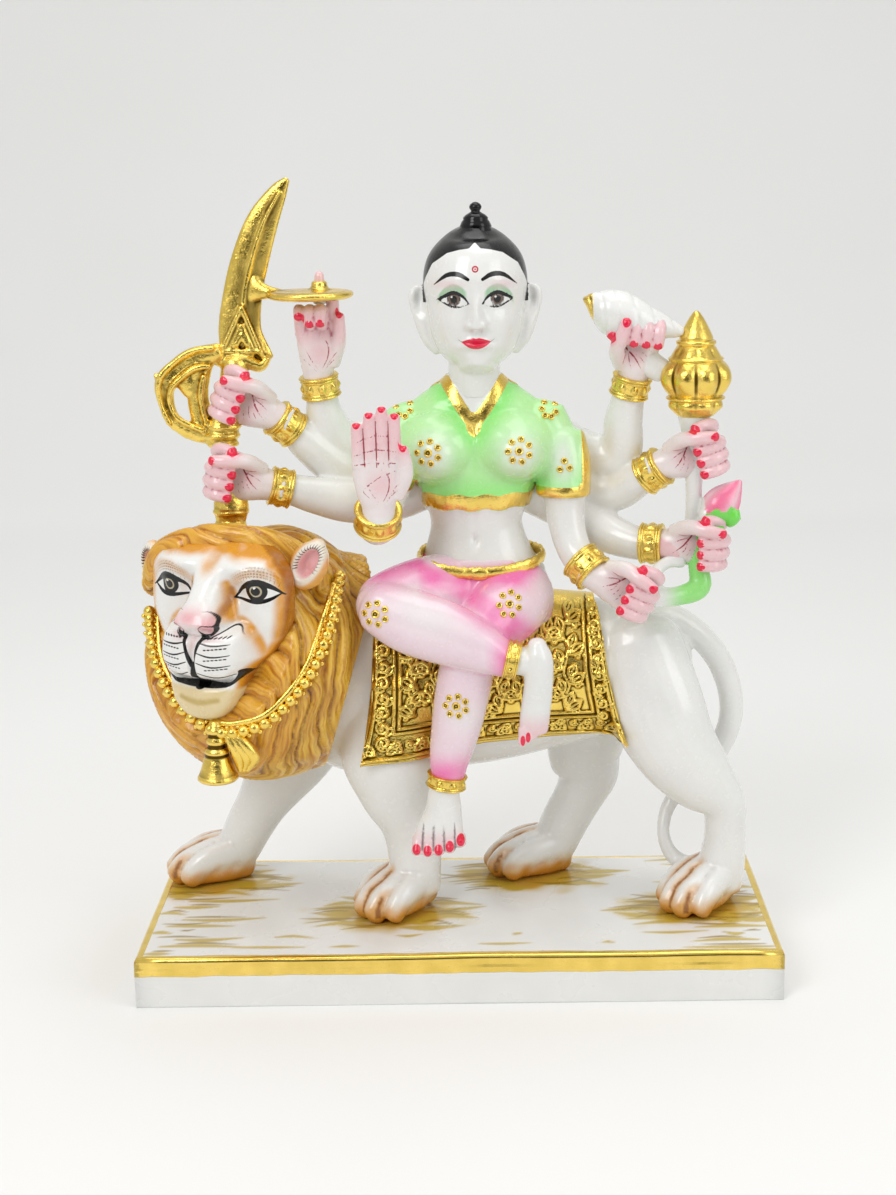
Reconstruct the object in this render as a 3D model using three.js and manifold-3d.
// A goddess with eight arms riding a lion, carved with its plinth from one block of white marble.
// Millimetres, +Z up, seen from -Y. The origin is the middle of the plinth's underside.
import * as THREE from 'three';
import { mergeVertices } from 'three/addons/utils/BufferGeometryUtils.js';
import Module from 'manifold-3d';

const wasm = await Module();
wasm.setup();

// Driving dimensions
const plinthLength = 296;
const plinthDepth = 120;
const plinthHeight = 24;
const plinthBevel = 2.5;
const figureHeight = 345; // from the plinth's top to the tip of the sword
const pawSink = 1.2; // how far the paws run down into the plinth's top
const joinSlack = 0.2; // how far a face may move where the joined surface is tidied

// The carving is laid out at a figure height of 345, from the middle of the plinth's top,
// and takes its real size from this ratio.
const layoutHeight = 345;
const ratio = figureHeight / layoutHeight;
const sink = pawSink / ratio;

const X = [1, 0, 0];
const Y = [0, 1, 0];
const Z = [0, 0, 1];
const vec = (p) => new THREE.Vector3(p[0], p[1], p[2]);
const degrees = (angle) => (angle * Math.PI) / 180;
const mix = (a, b, share) => a + (b - a) * share;

// Solids from geometry

function solid(geometry) {
  const bare = geometry.clone();
  for (const name of Object.keys(bare.attributes)) {
    if (name !== 'position') bare.deleteAttribute(name);
  }
  const merged = mergeVertices(bare, 1e-4);
  const triVerts = new Uint32Array(merged.index.array);
  const place = merged.attributes.position;
  let volume = 0;
  const corner = (i) => new THREE.Vector3().fromBufferAttribute(place, triVerts[i]);
  for (let i = 0; i < triVerts.length; i += 3) {
    volume += corner(i).dot(corner(i + 1).cross(corner(i + 2)));
  }
  if (volume < 0) {
    for (let i = 0; i < triVerts.length; i += 3) {
      [triVerts[i + 1], triVerts[i + 2]] = [triVerts[i + 2], triVerts[i + 1]];
    }
  }
  return new wasm.Manifold(new wasm.Mesh({ numProp: 3, vertProperties: place.array, triVerts }));
}

function geometryOf(manifold) {
  const mesh = manifold.getMesh();
  return new THREE.BufferGeometry()
    .setAttribute('position', new THREE.BufferAttribute(mesh.vertProperties, 3))
    .setIndex(new THREE.BufferAttribute(mesh.triVerts, 1));
}

const join = (pieces) => pieces.flat(Infinity).reduce((whole, piece) => whole.add(piece));

// A closed tube through stations [x, y, z, half width, half depth]. Its depth lies as near to the
// depth axis as it can. Each end runs on to a point by a share of its size, and 0 leaves it flat;
// a round end has one more ring. Flutes scallop the tube, and sway winds them round it.
function loft(stations, options = {}) {
  const { sides = 8, steps = 1, depth = Y, caps = [0.5, 0.5], round = [false, false] } = options;
  const { flutes = 0, fluteDepth = 0, sway = () => 0 } = options;
  const path = new THREE.CatmullRomCurve3(stations.map(vec), false, 'catmullrom', 0.5);
  const sizes = new THREE.CatmullRomCurve3(
    stations.map((s) => new THREE.Vector3(s[3], s[4] ?? s[3], 0)), false, 'catmullrom', 0.5);
  const count = (stations.length - 1) * steps;
  const points = [];
  const rings = [];
  const addRing = (centre, along, width, thick, share) => {
    const front = vec(depth).addScaledVector(along, -vec(depth).dot(along)).normalize();
    const side = new THREE.Vector3().crossVectors(along, front);
    rings.push(points.length);
    for (let j = 0; j < sides; j += 1) {
      const angle = (2 * Math.PI * (flutes ? j : j + 0.5)) / sides;
      const scallop = flutes ? 1 - fluteDepth * Math.abs(Math.sin((flutes * angle) / 2)) : 1;
      const wound = angle + sway(share);
      points.push(centre.clone()
        .addScaledVector(side, Math.cos(wound) * width * scallop)
        .addScaledVector(front, Math.sin(wound) * thick * scallop));
    }
  };
  const start = { at: path.getPoint(0), along: path.getTangent(0), size: sizes.getPoint(0) };
  const end = { at: path.getPoint(1), along: path.getTangent(1), size: sizes.getPoint(1) };
  const reach = (tip, cap) => Math.min(tip.size.x, tip.size.y) * cap;
  const shoulder = (tip, cap, sign) => addRing(
    tip.at.clone().addScaledVector(tip.along, sign * 0.7 * reach(tip, cap)),
    tip.along, 0.72 * tip.size.x, 0.72 * tip.size.y, sign > 0 ? 1 : 0);
  if (round[0]) shoulder(start, caps[0], -1);
  for (let i = 0; i <= count; i += 1) {
    const size = sizes.getPoint(i / count);
    addRing(path.getPoint(i / count), path.getTangent(i / count), size.x, size.y, i / count);
  }
  if (round[1]) shoulder(end, caps[1], 1);
  const firstPole = points.push(start.at.clone().addScaledVector(start.along, -reach(start, caps[0]))) - 1;
  const lastPole = points.push(end.at.clone().addScaledVector(end.along, reach(end, caps[1]))) - 1;
  const faces = [];
  for (let j = 0; j < sides; j += 1) {
    const next = (j + 1) % sides;
    faces.push(firstPole, rings[0] + j, rings[0] + next);
    faces.push(lastPole, rings.at(-1) + next, rings.at(-1) + j);
    for (let r = 0; r + 1 < rings.length; r += 1) {
      const [low, high] = [rings[r], rings[r + 1]];
      faces.push(low + j, high + j, high + next, low + j, high + next, low + next);
    }
  }
  return solid(new THREE.BufferGeometry().setFromPoints(points).setIndex(faces));
}

// An ellipsoid with its own axes: half sizes along the frame's side, up and forward directions.
function ball(centre, half, options = {}) {
  const { frame = { side: X, up: Z, front: Y }, detail = 1 } = options;
  const turn = new THREE.Matrix4().makeBasis(vec(frame.side), vec(frame.up), vec(frame.front));
  const geometry = new THREE.IcosahedronGeometry(1, detail)
    .scale(half[0], half[1], half[2])
    .applyMatrix4(turn)
    .translate(centre[0], centre[1], centre[2]);
  return solid(geometry);
}

// A turned shape about a vertical axis through centre, from [radius, height] pairs bottom to top.
function turned(centre, profile, sides = 12) {
  const outline = profile.map(([radius, height]) => new THREE.Vector2(radius, height));
  return solid(new THREE.LatheGeometry(outline, sides).rotateX(Math.PI / 2)
    .translate(centre[0], centre[1], centre[2]));
}

// Local frames

// A frame for a limb end or a head: along, thumb or side, and palm or front directions.
function frameAt(origin, along, facing, hand = 1) {
  const a = vec(along).normalize();
  const p = vec(facing).addScaledVector(a, -vec(facing).dot(a)).normalize();
  const t = new THREE.Vector3().crossVectors(a, p).multiplyScalar(hand);
  const at = ([u, v, w, ...rest]) => {
    const place = vec(origin).addScaledVector(a, u).addScaledVector(t, v).addScaledVector(p, w);
    return [place.x, place.y, place.z, ...rest];
  };
  return { at, a: a.toArray(), t: t.toArray(), p: p.toArray() };
}

// Hands

// A finger's joints from its root, as [along, thumbwards, palmwards, radius]. Each phalanx turns
// to the next of the angles, measured from straight out towards the palm.
function fingerJoints([along, across], lengths, angles, radius) {
  const joints = [[along, across, 0, radius]];
  lengths.forEach((length, i) => {
    const [a, , p] = joints[i];
    const turn = degrees(angles[i]);
    joints.push([
      a + length * Math.cos(turn), across, p + length * Math.sin(turn), radius * (1 - 0.09 * i)]);
  });
  return joints;
}

const palmLength = 21;
const fingerRadius = 3.6;
const fingerSpread = [7.8, 2.6, -2.6, -7.8];
const fingerLengths = [[8.5, 13], [9, 13.5], [8.5, 13], [7.5, 11]];
const straight = [4, 7];
const folded = [60, 175];
const curved = [8, 17];
const handPoses = {
  open: {
    curls: [straight, straight, straight, straight],
    thumb: [[5, 8, 1, 3.6], [15, 12, 2.5, 3.3], [26, 11.5, 4, 2.5]],
  },
  wheel: {
    lengths: [[8.5, 8], [9, 13.5], [8.5, 13], [7.5, 9]],
    curls: [straight, folded, folded, curved],
    thumb: [[5, 8, 1, 3.6], [15, 11.5, 2.5, 3.1], [27, 11, 3, 2.3]],
  },
  fist: {
    knuckles: [21, 17, 2, 9.6],
    thumb: [[4, 7, 2, 3.6], [13, 12.5, 8, 3.4], [22, 12, 12, 2.6]],
  },
};

// The fingers of a fist are a ribbed roll across the palm: a rib for each finger.
function fist(frame, [along, width, palmwards, reach]) {
  const ribs = 4;
  const stations = Array.from({ length: 2 * ribs + 1 }, (_, i) => {
    const across = mix(1, -1, i / (2 * ribs)) * (width / 2 + 2);
    const size = i % 2 ? 1 : 0.84;
    return [along - 5, across, palmwards + 4, reach * size, (reach + 0.6) * size];
  });
  return loft(stations.map(frame.at), { sides: 7, caps: [0, 0], depth: frame.p });
}

function hand({ wrist, along, facing = [0, -1, 0], side, pose }) {
  const frame = frameAt(wrist, along, facing, side);
  const { curls = [], lengths = fingerLengths, thumb, knuckles } = handPoses[pose];
  const tube = (joints, sides) => loft(joints.map(frame.at), { sides, caps: [0, 0.5], depth: frame.p });
  const fingers = curls.map((angles, i) => tube(
    fingerJoints([palmLength - 1, fingerSpread[i]], lengths[i], angles, fingerRadius), 4));
  const palmEnd = knuckles ? knuckles[0] - 6 : palmLength;
  const palm = [
    frame.at([3, 0, 0, 7.6, 6]), frame.at([10, 0.2, -0.2, 10, 5.8]),
    frame.at([palmEnd, 0.2, -0.6, 11.2, 4.6])];
  return { palm, parts: [fingers, tube(thumb, 5), knuckles ? fist(frame, knuckles) : []] };
}

// A gilt bangle on a limb, as stations from one end of it to the other.
function bangle(from, to, radius, thickness = radius * 0.9) {
  const at = (share) => [0, 1, 2].map((i) => mix(from[i], to[i], share));
  return [
    [...at(0), radius * 0.93, thickness * 0.93], [...at(0.5), radius * 1.05, thickness * 1.05],
    [...at(1), radius * 0.93, thickness * 0.93]];
}

// One arm from the shoulder to the knuckles, with its bangle, and the fingers.
function arm({ limb, bangleAt, bangleRadius = 9, hand: held }) {
  const { palm, parts } = hand(held);
  const stations = [...limb, ...bangle(bangleAt[0], bangleAt[1], bangleRadius), ...palm];
  return [loft(stations, { sides: 8, caps: [0, 0] }), parts];
}

const arms = {
  wheelArm: {
    limb: [
      [-14, 19, 233, 10, 9.5], [-34, 20, 225, 10.5, 10], [-50, 15, 224, 10.5, 9.5],
      [-57, 10, 236, 9, 8.5], [-58.3, 8.3, 245.6, 7.4, 7]],
    bangleAt: [[-58.5, 8, 246.5], [-59.6, 6.5, 256.5]],
    hand: { wrist: [-59.6, 6, 257], along: [0.02, -0.1, 1], side: 1, pose: 'wheel' },
  },
  swordArm: {
    limb: [
      [-12, 17, 218, 9, 9], [-32, 19, 210, 10.5, 10], [-50, 14, 212, 10.5, 9.5],
      [-66, 7, 226, 9, 8.5], [-70, 5.4, 230, 7.6, 7.4]],
    bangleAt: [[-71, 5, 231], [-79.5, 1, 238.5]],
    hand: { wrist: [-80, 1, 239], along: [-0.9, 0, 0.42], side: 1, pose: 'fist' },
  },
  hiltArm: {
    limb: [
      [-8, 14, 203, 9, 9], [-26, 14, 197.5, 10.5, 10], [-46, 6, 198, 10.5, 9.5],
      [-62, 0, 202, 8.8, 8.2], [-72, -2.8, 205.2, 7.4, 7.2]],
    bangleAt: [[-73, -3, 205.5], [-82.5, -5, 208]],
    hand: { wrist: [-83, -5.5, 208.2], along: [-0.97, 0, 0.24], side: 1, pose: 'fist' },
  },
  blessingArm: {
    limb: [
      [-17, 8, 236, 12, 11.5], [-27, 2, 213, 10.5, 10.5], [-32, -10, 195, 9.5, 9],
      [-33, -22, 191, 8.6, 8], [-32.9, -27, 192.5, 8, 7.6]],
    bangleAt: [[-32.8, -28, 193], [-31.8, -35, 202]],
    bangleRadius: 10.5,
    hand: { wrist: [-31.6, -36, 203.5], along: [0, -0.12, 1], side: 1, pose: 'open' },
  },
  conchArm: {
    limb: [
      [38, 19, 231, 10, 9.5], [60, 22, 217, 11, 10.5], [78, 17, 215, 10, 9.5],
      [80, 13, 232, 9, 8.5], [82, 11.3, 243, 7.6, 7.4]],
    bangleAt: [[82, 11, 244], [84, 9, 253.5]],
    hand: { wrist: [84.3, 8.5, 254.5], along: [0.12, -0.15, 1], side: -1, pose: 'fist' },
  },
  maceArm: {
    limb: [
      [38, 17, 216, 9, 9], [60, 20, 202, 10.5, 10], [76, 16, 199, 10, 9.5],
      [86, 9, 205, 8.4, 8]],
    bangleAt: [[89, 8, 206.5], [97.5, 4, 212.7]],
    bangleRadius: 9.5,
    hand: { wrist: [98, 3.5, 213], along: [0.93, -0.1, 0.3], side: -1, pose: 'fist' },
  },
  lotusArm: {
    limb: [
      [34, 14, 200, 9, 9], [55, 17, 190, 10.5, 10], [72, 12, 180, 9.6, 9],
      [85, 5.5, 176, 8, 7.8]],
    bangleAt: [[87.5, 4.5, 176], [97.5, 1.5, 176]],
    bangleRadius: 9.5,
    hand: { wrist: [98.5, 1, 176], along: [0.98, -0.12, 0], side: -1, pose: 'fist' },
  },
  restingArm: {
    limb: [
      [41, 8, 236, 12, 11.5], [51, 5, 214, 11, 11], [52.5, 0, 190, 8.8, 8.8],
      [56, -5, 176, 8, 8]],
    bangleAt: [[58, -8, 172], [65, -13, 165.5]],
    bangleRadius: 9.8,
    hand: { wrist: [66, -14, 164.8], along: [0.88, -0.2, -0.38], side: -1, pose: 'fist' },
  },
};

// The goddess's body, dress and head

const figureX = 11.5;
const torsoY = 7;

// The blouse's hem is a gilt band, proud of the body below it.
function torso() {
  const trunk = loft([
    [figureX + 1.5, torsoY, 143, 34, 25], [figureX + 1, torsoY, 157, 33, 24],
    [figureX + 0.5, torsoY, 170, 27, 20], [figureX, torsoY, 186, 21.3, 15.5],
    [figureX, torsoY, 194, 22.4, 16], [figureX, torsoY, 194.6, 24.6, 17.8],
    [figureX, torsoY, 201.5, 26.4, 18.8], [figureX, torsoY, 217, 30, 18.5],
    [figureX, torsoY + 1, 234, 33, 15], [figureX, torsoY + 1, 245, 22, 12],
    [figureX, torsoY, 253, 13, 12], [figureX, torsoY - 2, 268, 13.4, 12.6]],
  { sides: 12, caps: [0, 0] });
  const breast = (side) => ball([figureX + side * 17.5, -8, 222.5], [15.4, 15, 13.4]);
  const shoulder = (side) => ball([figureX + side * 29, 8, 231], [15, 11, 12.5]);
  return [trunk, breast(-1), breast(1), shoulder(-1), shoulder(1)];
}

// The sleeve ends and the belt stand proud as flat gilt bands.
function giltBands() {
  const sleeve = loft([[51.5, 1.5, 199.5, 12.2, 12], [51.5, 3, 206, 12.6, 12.2]],
    { sides: 8, caps: [0, 0] });
  const blessingSleeve = loft([[-30.5, -4, 201, 11.6, 11.4], [-28.5, 0, 207, 12, 11.8]],
    { sides: 8, caps: [0, 0] });
  const beltDrop = 8;
  const belt = Array.from({ length: 8 }, (_, i) => {
    const angle = Math.PI * (1 + i / 7);
    return [
      figureX + 0.5 + 27 * Math.cos(angle), torsoY + 20.4 * Math.sin(angle),
      175.5 + beltDrop * Math.sin(angle), 1.9, 3.6];
  });
  return [sleeve, blessingSleeve, loft(belt, { sides: 4, depth: Z, caps: [0, 0] })];
}

function toes(count, tip) {
  return Array.from({ length: count }, (_, i) => loft(tip(i), { sides: 4, caps: [0, 0.6] }));
}

function foldedLeg() {
  const thigh = loft([
    [6, 3, 156, 22, 20], [-13, -11, 157, 18, 17], [-29, -24, 156, 15, 14], [-33, -29, 155, 12, 12]],
  { sides: 9, caps: [0, 0.5] });
  const shin = loft([
    [-32, -30, 156, 13, 12], [-19, -33, 150, 15, 12.5], [-2, -36, 144.5, 14.5, 11.5],
    [11, -38, 139, 12, 10.5], [22, -39, 134, 8.6, 8.4],
    ...bangle([23.5, -39.5, 133.8], [29.5, -40, 132.5], 9, 8.6), [33, -40, 132.5, 6.6, 7.4]],
  { sides: 8, caps: [0.5, 0] });
  const foot = loft([
    [37.5, -41, 141, 4, 5], [37.8, -41, 134, 6.8, 7.2], [38, -41, 122, 6.6, 6.2],
    [36.5, -40, 108, 6.8, 5.6], [35.5, -39, 99, 6.6, 4.6]], { sides: 7, caps: [0.5, 0] });
  return [thigh, shin, foot, toes(5, (i) => [
    [30.4 + 2.8 * i, -42 + 0.9 * i, 101, 1.9, 2.6],
    [29.8 + 2.8 * i, -42 + 0.9 * i, 95 + 1.3 * i, 1.8, 2.4]])];
}

function hangingLeg() {
  const thigh = loft([
    [28, 3, 153, 20, 20], [24, -12, 150, 17.5, 16], [15, -24, 143, 14.5, 13], [8, -29, 134, 12, 11.5]],
  { sides: 9, caps: [0, 0] });
  const shin = loft([
    [7, -29, 132, 12.4, 11.5], [4, -28, 116, 12.6, 11], [1, -27, 100, 11.7, 10.5],
    [-2.5, -26, 84, 9.4, 9.4], [-3.4, -26, 76.5, 7.8, 8],
    ...bangle([-3.8, -26, 75], [-4.8, -26, 69.5], 9, 9),
    [-5.6, -26, 66, 7.4, 8.4], [-6, -27, 58, 8.6, 8.5], [-7.6, -30, 49, 11, 6.5],
    [-8.4, -33, 43, 12, 4.4]], { sides: 9, caps: [0.5, 0] });
  return [thigh, shin, toes(5, (i) => [
    [-18 + 4.9 * i, -31 - Math.sin(i * 0.8), 46, 3.4],
    [-18.6 + 5.1 * i, -35 - Math.sin(i * 0.8), 39.5 + 0.5 * (i - 1) ** 2, 3.2]])];
}

// The head follows the usual proportions: the eyes halfway up, and equal thirds from the hairline
// to the brow, from there to the foot of the nose, and on to the chin.
const headX = 12.6;
const chinZ = 260;
const crownZ = 322;
const headHeight = crownZ - chinZ;
const eyeZ = chinZ + headHeight * 0.5;
const noseFootZ = chinZ + headHeight * 0.29;
const mouthZ = chinZ + headHeight * 0.2;

function head() {
  const level = (share, half, front, back) => [
    headX, (front + back) / 2, chinZ + headHeight * share, half, (back - front) / 2];
  const skull = loft([
    level(0.01, 7, -14, 6), level(0.1, 14, -17.5, 14), level(0.24, 18.8, -18.5, 22),
    level(0.4, 21.8, -19, 28), level(0.6, 23.6, -19, 32), level(0.78, 21.4, -16, 31),
    level(0.91, 15, -9.5, 25), level(0.99, 6.4, -1, 15)], { sides: 14, caps: [0.4, 0.3] });
  const nose = loft([
    [headX, -18, eyeZ + 4, 1.8, 1.8], [headX, -20, eyeZ - 5, 2.3, 2.4],
    [headX, -22, noseFootZ + 2.4, 3.7, 3]], { sides: 5 });
  const lips = [1.1, -1.3].map((rise, i) => loft([
    [headX - 5.6 + i, -16.6, mouthZ, 0.6, 1.6], [headX, -18.2, mouthZ + rise, 1.5, 2.4],
    [headX + 5.6 - i, -16.6, mouthZ, 0.6, 1.6]], { sides: 4 }));
  const eye = (side) => ball([headX + side * 9.4, -16, eyeZ], [6, 3.6, 3.6], { detail: 0 });
  const ear = (side) => loft([
    [headX + side * 17, 5, chinZ + 7, 3, 3], [headX + side * 22, 5.5, chinZ + 14, 5, 3.4],
    [headX + side * 25, 7, chinZ + 25, 5.6, 4.4], [headX + side * 25, 8, chinZ + 33, 5.4, 4.6]],
  { sides: 6, caps: [0.6, 0.6] });
  return [skull, nose, lips, eye(-1), eye(1), ear(-1), ear(1)];
}

// The hair is painted on the skull, and only the knot on top of it is carved.
function knot() {
  return turned([headX + 0.6, 7, crownZ - 4], [
    [0, 0], [7, 1.4], [6.2, 5.4], [4.4, 8.4], [2, 10], [2.7, 12], [2.2, 13.6], [0, 14.4]], 8);
}

// What the hands hold

function sword() {
  const blade = loft([
    [-91, 7, 262, 12, 2.6], [-94.5, 7, 277, 10, 2.6], [-92.5, 8, 294, 9, 2.6],
    [-88.5, 8, 309, 8.6, 2.5], [-82.5, 8, 325, 7.4, 2.2], [-75, 8, 338, 4.4, 1.8],
    [-70.6, 8, 344, 1.6, 1.4]], { sides: 6, caps: [0, 0.6] });
  const guard = loft([
    [-111, 6, 269, 1.8, 3], [-104, 6, 264.5, 3.4, 4.6], [-94, 6, 264.5, 4, 5.4],
    [-86, 6, 261.5, 3, 4.4], [-82, 6, 265, 1.6, 3]], { sides: 6 });
  const palmette = [-1, 1].map((side) => loft([
    [-94.5 + side * 9.5, 3.4, 267, 1.8, 1.8], [-93, 3.4, 287.5, 1.3, 1.6]], { sides: 3, caps: [0, 0] }));
  const hilt = loft([
    [-97, 4.5, 263, 6.4, 5.6], [-100, 3, 250, 5.4, 5.2], [-103, 2, 237, 7, 6],
    [-104.6, 1, 229, 7.6, 6], [-103.5, 0, 223, 4.4, 4.4], [-102, -1.5, 211, 5, 4.6],
    [-101, -3, 199, 8, 5.6], [-102, -4, 188, 6, 5], [-105.5, -4.5, 178, 3, 3.2]],
  { sides: 7 });
  const knuckleGuard = loft([
    [-104, 3, 268, 4.4, 3.4], [-115, 3, 267.5, 4.6, 3.4], [-124, 3, 266, 3.4, 3],
    [-131, 3, 256, 4.4, 4], [-129.5, 3, 246, 2.6, 2.6], [-126, 2, 237, 2.6, 2.6],
    [-117, 2, 230, 2.8, 2.6], [-106, 1, 228.5, 3, 2.8]], { sides: 5 });
  return [blade, guard, palmette, hilt, knuckleGuard];
}

// The wheel on its finger is held to the sword by a bridge of stone.
function wheel() {
  const centre = [-61.5, 0.5, 291];
  const disc = turned(centre, [[0, 0.2], [17, 0.4], [19.6, 2.4], [17, 4.2], [0, 4.4]], 14);
  const fingertip = loft([
    [-57.3, 1, 291, 4], [-57.3, 0.8, 296.5, 3.4], [-57.2, 0.7, 298, 2.5], [-57.1, 0.6, 302, 2.1]],
  { sides: 7, caps: [0, 0.8] });
  const bridge = loft([
    [-88, 7, 296, 7, 2.6], [-82, 5.5, 294.5, 3.4, 2.6], [-72, 3, 293.2, 1.8, 4]],
  { sides: 6 });
  return [disc, fingertip, bridge];
}

function mace() {
  const [x, y] = [112, 4];
  const upright = (pairs) => pairs.map(([radius, height]) => [x, y, 235 + height, radius, radius]);
  const shaft = loft([
    [x - 0.6, y - 1, 184, 3.8, 3.8], [x - 0.4, y - 1.5, 200, 3.8, 3.8],
    [x - 0.6, y - 1.5, 222, 5, 5], [x - 0.6, y, 240, 8, 8]], { sides: 7 });
  const ring = turned([x, y, 235], [[0, 0], [8.4, 1], [12.6, 4], [13.6, 8], [11, 10], [0, 10]], 10);
  const bulb = loft(upright([[12, 8], [16.4, 15], [16.4, 21], [9.5, 31]]),
    { sides: 16, flutes: 8, fluteDepth: 0.13, caps: [0, 0] });
  const cone = turned([x, y, 235], [[0, 30], [8.8, 31], [8.4, 35], [6.2, 37], [0.8, 47.4], [0, 47.6]], 8);
  return [shaft, ring, bulb, cone];
}

function conch() {
  const shell = loft([
    [63.5, 3, 288.6, 1.8, 1.8], [68, 2.8, 286.5, 6, 6], [74.5, 2.4, 282.6, 10.4, 9.6],
    [83, 2, 278.6, 8.6, 8.6], [94, 2, 276.5, 5.6, 5.6], [104.5, 2.5, 273.5, 2.4, 2.6]],
  { sides: 8 });
  const strut = loft([[86, 7, 262, 7, 5], [97, 5, 255.5, 5.5, 4.5]], { sides: 6 });
  return [shell, strut];
}

function lotus() {
  const stem = loft([
    [118, -2, 190, 3, 3], [113, -2, 180, 2.6, 2.6], [111.5, -2, 166, 3, 3],
    [114, -4, 155.5, 3.4, 3.2], [103, -8, 152.6, 3.6, 3.2], [92, -14, 153.5, 4, 3.6]],
  { sides: 6 });
  const bud = loft([
    [119, -2, 189, 6.6, 6], [124, -1.5, 195, 8.6, 6.6], [128, -1, 200, 5.6, 4.6],
    [131.6, 0, 204, 1.6, 1.6]], { sides: 7 });
  const sepals = [-1, 0, 1].map((side) => ball(
    [122 + side * 6, -4, 190.5 + side * 1.6], [5.4, 4, 6], { detail: 0 }));
  return [stem, bud, sepals];
}

// The lion

const lionY = 19;
const backStations = [
  // x, z of the middle, half depth, half height
  [-66, 112, 28, 38], [-46, 108, 31, 46], [-18, 108, 31, 45], [12, 108, 30, 42],
  [44, 111, 28, 38], [72, 113, 27, 33], [94, 114, 22, 26], [106, 113, 13, 16]];

function lionBody() {
  const trunk = loft(backStations.map(([x, z, thick, tall]) => [x, lionY, z, thick, tall]),
    { sides: 14, depth: Z, caps: [0, 0.3] });
  return trunk;
}

const legs = {
  nearFore: [
    [-30, 0, 104, 25, 14], [-30, -4, 78, 25, 14], [-27, -5, 60, 20, 12], [-22.5, -4, 46, 16, 11.5],
    [-21, -3, 34, 13.6, 11], [-20.5, -3, 20, 12.4, 11], [-22, -4, 8, 12, 11]],
  farFore: [
    [-64, 32, 92, 20, 15], [-78, 37, 68, 19, 13], [-91, 38, 50, 16, 11.5], [-98.5, 38, 38, 13, 10.5],
    [-105, 38, 27, 12, 10.5], [-112, 38, 15, 11.5, 10.5], [-116, 38, 6, 10, 10]],
  nearHind: [
    [86, 9, 126, 22, 19], [94, -1, 100, 23, 16.5], [103, -4, 80, 20.5, 14], [115, -4, 64, 17, 11.5],
    [126.5, -3, 51, 11, 9.5], [128, -2, 37, 9.8, 9.5], [127, -2, 22, 11, 10.5], [123, -3, 8, 12, 11]],
  farHind: [
    [76, 31, 104, 22, 16], [66, 37, 78, 20, 13], [63.5, 40, 62, 18.5, 12], [65, 41, 51, 15.5, 11],
    [61, 41, 40, 12.6, 10.5], [54.5, 41, 28, 12, 10.5], [48, 41, 16, 12, 11], [45, 41, 7, 11, 10.5]],
};

// Where each paw stands, and the way that it points, in degrees from -X towards -Y.
const paws = [
  { at: [-25, -4], heading: 42 }, { at: [-119, 38], heading: 12 },
  { at: [120, -3], heading: 42 }, { at: [41, 41], heading: 12 }];

function paw({ at, heading }) {
  const turn = degrees(heading);
  const ahead = [-Math.cos(turn), -Math.sin(turn)];
  const place = (forward, z, ...size) => [
    at[0] + ahead[0] * forward, at[1] + ahead[1] * forward, z, ...size];
  const toes = 4;
  return loft([
    place(-9, 5, 11, 12), place(3, 5, 14, 18), place(16, 4, 15.4, 16.5), place(24.5, 2, 12, 7)],
  { sides: 4 * toes, depth: Z, caps: [0.4, 0], flutes: 2 * toes, fluteDepth: 0.2 })
    .subtract(floorBlock());
}

// What lies under the ground of the carving, down to where the paws end inside the plinth.
function floorBlock() {
  return solid(new THREE.BoxGeometry(600, 300, 100).translate(0, 0, -50 - sink));
}

function tail() {
  return loft([
    [86, 20, 138, 9, 9], [101, 22, 137, 6.8, 6.8], [116, 24, 127.5, 6.4, 6.4],
    [127.5, 26, 113, 6.2, 6.2], [133.5, 27, 96, 6, 6], [133, 26, 80, 5.8, 5.8],
    [125, 23, 65, 5.4, 5.4], [113, 20, 54, 4.6, 4.6], [103, 17, 42, 3.6, 3.6],
    [100, 12, 30, 3.2, 3.2], [104, 8, 20, 3.8, 3.8], [114, 6, 15, 5, 5], [126, 8, 22, 5, 5],
    [137, 10, 35, 3, 3]], { sides: 6 });
}

function mane() {
  const wave = (share) => 0.1 * Math.sin(share * 3 * Math.PI);
  return loft([
    [-46, 21, 121, 33, 45], [-60, 17, 121, 42, 52], [-76, 9, 124, 49, 58],
    [-89, 0, 128, 50.5, 60.5], [-100, -12, 134, 48, 56], [-107, -27, 142, 40, 45]],
  { sides: 32, depth: Z, caps: [0, 0], flutes: 16, fluteDepth: 0.11, sway: wave });
}

// The lion's face has its own frame: right, up and forward from the bridge of the nose.
const faceYaw = 24;
const faceRoll = 2;
const faceOrigin = [-106.5, -42, 168];
function faceFrame() {
  const yaw = degrees(faceYaw);
  const roll = degrees(faceRoll);
  const front = new THREE.Vector3(-Math.sin(yaw), -Math.cos(yaw), 0);
  const level = new THREE.Vector3(Math.cos(yaw), -Math.sin(yaw), 0);
  const side = level.clone().multiplyScalar(Math.cos(roll)).addScaledVector(vec(Z), -Math.sin(roll));
  const up = level.clone().multiplyScalar(Math.sin(roll)).addScaledVector(vec(Z), Math.cos(roll));
  const at = ([r, u, f, ...rest]) => {
    const place = vec(faceOrigin).addScaledVector(side, r).addScaledVector(up, u).addScaledVector(front, f);
    return [place.x, place.y, place.z, ...rest];
  };
  return { at, side: side.toArray(), up: up.toArray(), front: front.toArray() };
}

// Half widths and middles of the head, from the chin to the top of the brow, in the face's frame.
const faceLevels = [
  // up, half width, forward position of the side, how far the front swells past it
  [-58, 8, -12, 14], [-53, 17, -10, 17], [-47, 23, -10, 18], [-41, 28, -12, 17], [-37.5, 30, -13, 16],
  [-33, 34, -15, 14], [-26, 38, -17, 13], [-19, 40, -19, 12], [-12, 41, -20, 11], [-5, 41, -20, 11],
  [0, 41, -21, 11], [5, 40, -21, 11], [11, 38, -22, 10], [17, 33, -24, 9]];

const hump = (value, middle, width) => Math.exp(-(((value - middle) / width) ** 2));

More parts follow.
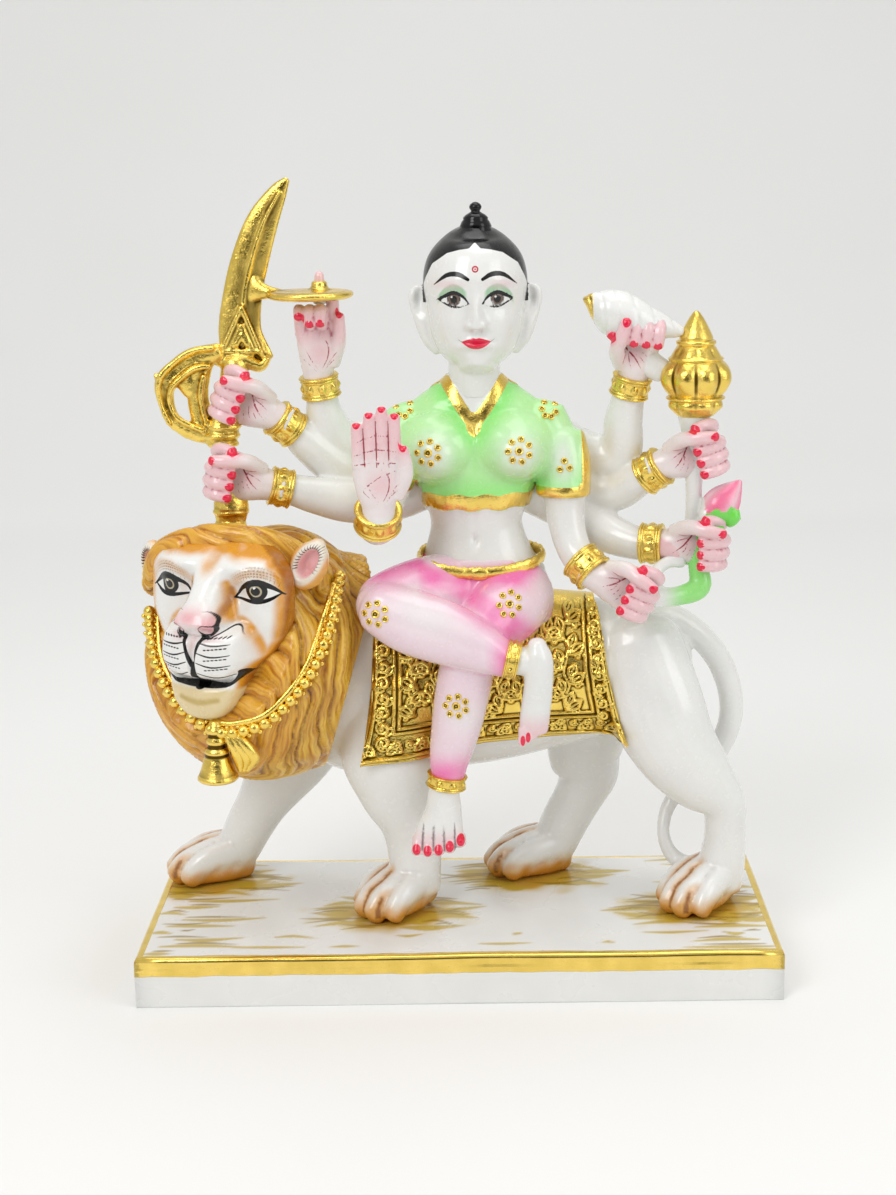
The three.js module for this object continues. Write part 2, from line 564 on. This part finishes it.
// How far each feature of the lion's face stands forward, at r to the side and u up.
function faceRelief(r, u) {
  const side = Math.abs(r);
  return 15 * hump(side, 0, 20) * hump(u, -24, 15)
    + 8 * hump(side, 0, 8) * hump(u, -11, 9)
    + 6 * hump(side, 11, 9) * hump(u, -27, 9)
    + 7 * hump(side, 0, 8) * hump(u, 0, 11)
    + 5 * hump(side, 17, 12) * hump(u, 11, 5)
    - 6 * hump(side, 21, 10) * hump(u, -2, 7)
    + 4 * hump(side, 21, 7) * hump(u, -1, 3.5)
    + 9 * hump(side, 0, 14) * hump(u, -47, 7)
    - 7 * hump(side, 0, 24) * hump(u, -38, 3);
}

function lionFace() {
  const frame = faceFrame();
  const sides = 26;
  const points = [];
  const faces = [];
  for (const [up, half, middle, swell] of faceLevels) {
    for (let j = 0; j < sides; j += 1) {
      const t = (2 * (j + 0.5)) / sides - 1;
      const angle = Math.PI * Math.sign(t) * Math.abs(t) ** 1.5;
      const across = half * Math.sin(angle);
      const ahead = Math.max(Math.cos(angle), 0);
      const forward = middle + (angle === 0 ? 1 : Math.cos(angle)) * (Math.cos(angle) > 0 ? swell : 12)
        + Math.sqrt(ahead) * faceRelief(across, up);
      points.push(vec(frame.at([across, up, forward])));
    }
  }
  const lowPole = points.push(vec(frame.at([0, -60, -10]))) - 1;
  const highPole = points.push(vec(frame.at([0, 20, -26]))) - 1;
  for (let j = 0; j < sides; j += 1) {
    const next = (j + 1) % sides;
    const top = (faceLevels.length - 1) * sides;
    faces.push(lowPole, next, j, highPole, top + j, top + next);
    for (let low = 0; low < top; low += sides) {
      faces.push(low + j, low + next, low + sides + next);
      faces.push(low + j, low + sides + next, low + sides + j);
    }
  }
  return solid(new THREE.BufferGeometry().setFromPoints(points).setIndex(faces));
}

function lionEars() {
  const frame = faceFrame();
  return [-1, 1].map((side) => loft([
    [side * 34, 1, -22, 9, 7], [side * 39, 8, -19, 10, 6], [side * 40, 14, -20, 5, 4]].map(frame.at),
  { sides: 7, caps: [0, 0.5], depth: frame.front }));
}

// Locks combed up from the brow, from one ear to the other.
function fringe() {
  return loft([
    [-137, -9, 164, 6, 9], [-131, -17, 174.5, 8, 9.5], [-112, -24, 182.5, 10, 8],
    [-90, -26, 182, 10, 8], [-72, -22, 175.5, 9, 9], [-60, -14, 167, 7, 9]],
  { sides: 16, caps: [0.4, 0.4], flutes: 8, fluteDepth: 0.14 });
}

// The garland of beads lies on the mane and carries a bell.
const garlandRoute = [
  [-45, -2, 163], [-48, -20, 150], [-52, -30, 139], [-58, -37, 126], [-68, -42, 115],
  [-79, -45, 107], [-91, -46, 103], [-105, -46, 103], [-116, -44, 107], [-125, -40, 114],
  [-131, -34, 125], [-135, -26, 139]];

const beadRadius = 3.7;
const beadPitch = 8.6;

function garland(coat) {
  const skin = new THREE.Mesh(geometryOf(coat));
  const route = new THREE.CatmullRomCurve3(garlandRoute.map(vec), false, 'catmullrom', 0.5);
  const ray = new THREE.Raycaster();
  const beadCount = Math.round(route.getLength() / beadPitch);
  const laid = route.getSpacedPoints(2 * beadCount).map((p, i) => {
    ray.set(new THREE.Vector3(p.x, -300, p.z), vec(Y));
    const met = ray.intersectObject(skin)[0];
    const y = met && met.point.y < 20 ? met.point.y - 0.3 * beadRadius : p.y;
    return [p.x, y, p.z, beadRadius * (i % 2 ? 1 : 0.6)];
  });
  const beads = loft(laid, { sides: 4, caps: [0, 0] });
  const bell = turned([-107, -46, 81], [
    [0, 0], [9.4, 0], [8.8, 3], [5.6, 12], [3.6, 15], [4.8, 18], [3, 28], [0, 28]], 10);
  const leaf = loft([
    [-99, -46, 104, 3.4, 4.4], [-96, -46, 95, 4.6, 4.4], [-97, -46, 89, 2, 4]], { sides: 4 });
  return [beads, bell, leaf];
}

// The saddlecloth hugs the body. Its side outline flares to points at the lower corners.
const clothLift = 2.2;
const clothOutline = [
  [-46, 76], [-10, 80], [12, 84], [44, 85.5], [68, 84], [81, 80], [74, 94], [69, 118], [67, 136],
  [66, 160], [-37, 170], [-37, 130], [-39, 100]];

// How far the body reaches towards the viewer at a place on its side.
function bodyFace(x, z) {
  const next = backStations.findIndex((station) => station[0] > x);
  const [low, high] = [backStations[next - 1], backStations[next]];
  const share = (x - low[0]) / (high[0] - low[0]);
  const [middle, thick, tall] = [1, 2, 3].map((i) => mix(low[i], high[i], share));
  const rise = THREE.MathUtils.clamp((z - middle) / tall, -0.98, 0.98);
  return lionY - thick * Math.sqrt(1 - rise * rise) - clothLift;
}

function saddlecloth() {
  const side = new THREE.Shape(clothOutline.map(([x, z]) => new THREE.Vector2(x, z)));
  const slab = new THREE.ExtrudeGeometry(side, { depth: 140, bevelEnabled: false })
    .rotateX(Math.PI / 2).translate(0, lionY + 70, 0);
  const stations = backStations.slice(0, 7).map(([x, z, thick, tall]) => [
    x, lionY, z, thick + clothLift, tall + clothLift]);
  const blanket = loft(stations, { sides: 14, depth: Z, caps: [0, 0] }).intersect(solid(slab));
  const flares = [[-40, 79, -1], [74, 83, 1]].map(([x, z, out]) => loft([
    [x - out * 10, bodyFace(x - out * 10, z + 8), z + 8, 5, 2],
    [x + out * 2, -15, z + 1, 3.4, 2], [x + out * 8, -16, z - 2, 1, 1.4]], { sides: 5 }));
  return [blanket, flares];
}

// Scrolls and border ribs of the saddlecloth, on its near and its far side.
function clothRelief() {
  const onCloth = (x, z, far) => {
    const y = bodyFace(x, z);
    return far ? 2 * lionY - y : y;
  };
  const ridge = (points, radius, far) => loft(
    points.map(([x, z]) => [x, onCloth(x, z, far), z, radius, radius]), { sides: 3, caps: [0, 0] });
  const made = [];
  for (const far of [false, true]) {
    made.push(ridge([[-37, 91], [-8, 94], [30, 96.5], [66, 95]], 1.8, far));
    if (far) continue;
    made.push(ridge([[-25, 132], [-26, 96]], 1.8, far));
    for (const [x, turn] of [[-32, 1], [-15, -1], [36, 1], [54, -1]]) {
      for (const z of [106, 122]) {
        made.push(ridge([[x - turn * 4, z - 7], [x + turn * 4, z], [x - turn * 2, z + 5]], 1.9, far));
      }
    }
  }
  return made;
}

// The plinth is a slab with its upper edges taken off.
function plinth() {
  const halfLength = plinthLength / 2;
  const halfDepth = plinthDepth / 2;
  const ring = (inset, z) => [[-1, -1], [1, -1], [1, 1], [-1, 1]].map(([sx, sy]) => new THREE.Vector3(
    sx * (halfLength - inset), sy * (halfDepth - inset), z));
  const points = [
    ...ring(0, 0), ...ring(0, plinthHeight - plinthBevel), ...ring(plinthBevel, plinthHeight)];
  const faces = [0, 2, 1, 0, 3, 2, 8, 9, 10, 8, 10, 11];
  for (const low of [0, 4]) {
    for (let j = 0; j < 4; j += 1) {
      const next = (j + 1) % 4;
      faces.push(low + j, low + next, low + 4 + next, low + j, low + 4 + next, low + 4 + j);
    }
  }
  return solid(new THREE.BufferGeometry().setFromPoints(points).setIndex(faces));
}

function carving() {
  const coat = mane();
  return join([
    lionBody(), Object.values(legs).map((stations) => loft(stations, { sides: 7, caps: [0, 0] })),
    paws.map(paw), tail(), coat, lionFace(), lionEars(), fringe(), garland(coat), saddlecloth(), clothRelief(),
    torso(), giltBands(), foldedLeg(), hangingLeg(), head(), knot(), Object.values(arms).map(arm),
    sword(), wheel(), mace(), conch(), lotus(),
  ]);
}

// The joins leave slivers and needless corners. An edge is drawn into one of its ends where that
// moves no face about it by more than the slack, and turns none of them over.
function thinned(geometry, slack) {
  const index = geometry.index.array;
  const place = geometry.getAttribute('position');
  const points = Array.from({ length: place.count }, (_, i) => new THREE.Vector3()
    .fromBufferAttribute(place, i));
  const faces = Array.from({ length: index.length / 3 }, (_, i) => [...index.slice(3 * i, 3 * i + 3)]);
  const around = points.map(() => new Set());
  faces.forEach((face, i) => face.forEach((corner) => around[corner].add(i)));
  const normal = (a, b, c) => new THREE.Vector3()
    .crossVectors(b.clone().sub(a), c.clone().sub(a));
  const ring = (corner) => new Set([...around[corner]].flatMap((i) => faces[i]));
  const canDraw = (gone, kept) => {
    const near = ring(kept);
    const common = [...ring(gone)].filter((corner) => near.has(corner));
    if (common.length !== 4) return false;
    return [...around[gone]].filter((i) => !faces[i].includes(kept)).every((i) => {
      const before = normal(...faces[i].map((corner) => points[corner]));
      const after = normal(...faces[i].map((corner) => points[corner === gone ? kept : corner]));
      const [sizeBefore, sizeAfter] = [before.length(), after.length()];
      if (sizeAfter < 0.02) return false;
      if (sizeBefore < 0.02) return sizeAfter < 1.5;
      const shift = points[kept].clone().sub(points[gone]).dot(before) / sizeBefore;
      return Math.abs(shift) < slack && before.dot(after) > 0.6 * sizeBefore * sizeAfter;
    });
  };
  const draw = (gone, kept) => {
    for (const i of [...around[gone]]) {
      if (faces[i].includes(kept)) {
        faces[i].forEach((corner) => around[corner].delete(i));
        faces[i] = [];
      } else {
        faces[i] = faces[i].map((corner) => (corner === gone ? kept : corner));
        around[kept].add(i);
      }
    }
    around[gone].clear();
  };
  for (let round = 0; round < 4; round += 1) {
    const edges = faces.flatMap(([a, b, c]) => (a === undefined ? [] : [[a, b], [b, c], [c, a]]))
      .map(([a, b]) => [a, b, points[a].distanceToSquared(points[b])])
      .sort((first, second) => first[2] - second[2]);
    for (const [a, b] of edges) {
      const joined = [...around[a]].some((i) => faces[i].includes(b));
      if (joined && canDraw(a, b)) draw(a, b);
    }
  }
  return new THREE.BufferGeometry().setFromPoints(points).setIndex(outerSkin(faces, around).flat());
}

// The largest connected skin. Smaller ones are pockets sealed in the stone, which are filled.
function outerSkin(faces, around) {
  const seen = new Set();
  let largest = [];
  faces.forEach((face, first) => {
    if (!face.length || seen.has(first)) return;
    const skin = [first];
    seen.add(first);
    for (const i of skin) {
      for (const j of faces[i].flatMap((corner) => [...around[corner]])) {
        if (!seen.has(j)) {
          seen.add(j);
          skin.push(j);
        }
      }
    }
    if (skin.length > largest.length) largest = skin;
  });
  return largest.map((i) => faces[i]);
}

const raised = geometryOf(carving()).scale(ratio, ratio, ratio).translate(0, 0, plinthHeight);
const joined = geometryOf(plinth().add(solid(raised)));
const statue = solid(thinned(joined, joinSlack));

const marble = new THREE.MeshStandardMaterial({ color: 0xf1efec, roughness: 0.22, metalness: 0 });
const mesh = new THREE.Mesh(geometryOf(statue), marble);
mesh.name = 'durga_on_lion';

const group = new THREE.Group();
group.add(mesh);

export default group;
